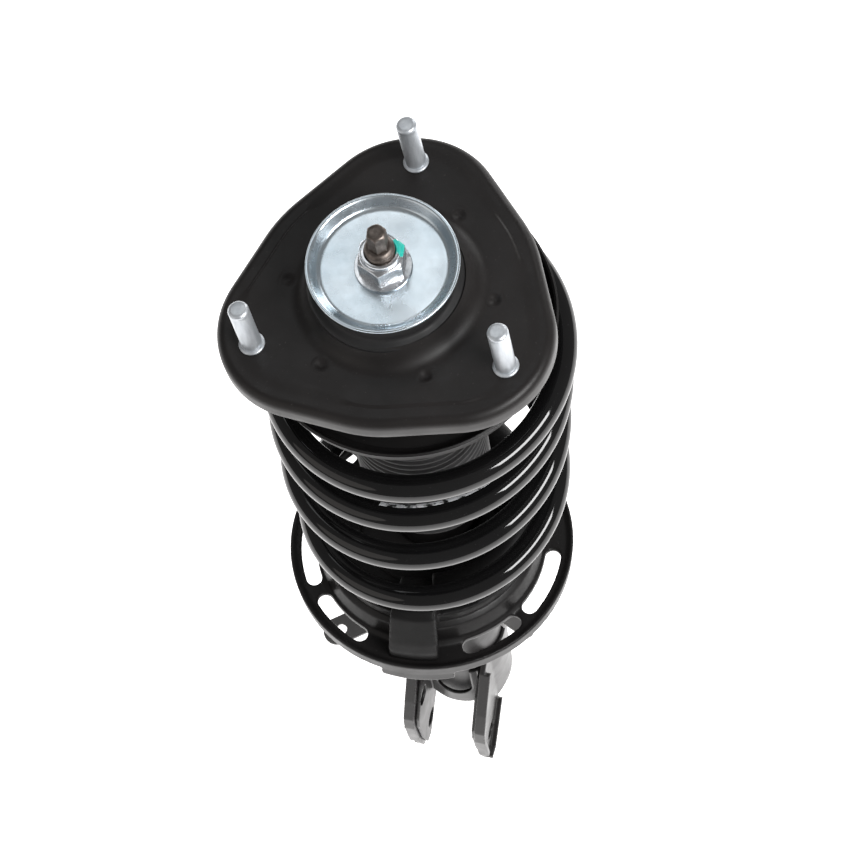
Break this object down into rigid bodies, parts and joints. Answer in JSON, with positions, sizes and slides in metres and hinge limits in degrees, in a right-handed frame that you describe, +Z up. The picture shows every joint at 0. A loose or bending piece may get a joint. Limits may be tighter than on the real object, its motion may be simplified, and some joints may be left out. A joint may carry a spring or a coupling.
{
  "type": "suspension strut",
  "caption": "Coil spring over a tube damper, with a studded top mount, a lower spring seat and a forked bracket for the wheel knuckle.",
  "frame": {"origin": "on the damper axis, at the height of the tower mounting face; the stud circle's centre is 1.3 mm from it", "axes": "+Z up along the damper axis, from the knuckle bracket to the top mount; -Y towards the side of the spring's lower wire end and the bracket's ears; +X to the right of that"},
  "size_m": [0.1735, 0.1772, 0.6475],
  "materials": {
    "satin_black_paint": "satin black coat",
    "gloss_black_paint": "gloss black powder coat",
    "zinc_plate": "bright zinc plating",
    "rubber": "matte",
    "boot_rubber": "semi-matte",
    "bare_steel": "machined",
    "hard_chrome": "ground",
    "foam": "closed-cell foam",
    "sintered_iron": "sintered",
    "grey_plastic": "matte",
    "black_plastic": "matte",
    "bronze": "bronze-faced"
  },
  "bodies": {
    "mount": {"mount_plate": "satin_black_paint", "mount_studs": "zinc_plate", "mount_rubber": "rubber", "mount_core": "bare_steel", "rebound_washer": "zinc_plate", "rod_nut": "zinc_plate", "piston_rod": "hard_chrome", "bump_cup": "satin_black_paint", "bump_stop": "foam", "piston": "sintered_iron", "piston_band": "grey_plastic", "piston_valve": "bare_steel", "piston_nut": "bare_steel", "rebound_stop": "rubber", "rebound_keeper": "bare_steel", "bearing_cap": "black_plastic"},
    "cage": {"bearing_cage": "grey_plastic", "bearing_balls": "bare_steel"},
    "turning_seat": {"bearing_race": "black_plastic", "upper_spring_seat": "gloss_black_paint", "upper_insulator": "rubber", "coil_spring": "gloss_black_paint", "dust_boot": "boot_rubber"},
    "strut_body": {"outer_tube": "gloss_black_paint", "bottom_cap": "gloss_black_paint", "inner_cylinder": "bare_steel", "base_valve": "sintered_iron", "rod_guide": "sintered_iron", "guide_bush": "bronze", "oil_seal": "rubber", "striker_cap": "zinc_plate", "lower_spring_seat": "gloss_black_paint", "lower_insulator": "rubber", "coil_sleeve": "rubber", "knuckle_bracket": "gloss_black_paint", "bracket_liner": "gloss_black_paint", "hose_bracket": "gloss_black_paint", "sensor_bracket": "gloss_black_paint"}
  },
  "joints": [
    {"name": "steering_swivel", "type": "hinge", "parent": "mount", "child": "turning_seat", "pos_m": [0, 0, -0.0315], "axis": [0, 0, 1], "range_deg": [-40, 40]},
    {"name": "cage_turn", "type": "hinge", "parent": "mount", "child": "cage", "pos_m": [0, 0, -0.0315], "axis": [0, 0, 1], "range_deg": [-20, 20]},
    {"name": "strut_stroke", "type": "slide", "parent": "turning_seat", "child": "strut_body", "axis": [0, 0, 1], "range_m": [0, 0.112], "stiffness_N_per_m": 22000, "deforming": ["coil_spring", "dust_boot"]}
  ],
  "couplings": [
    {"joint": "cage_turn", "follows": "steering_swivel", "ratio": 0.5}
  ]
}
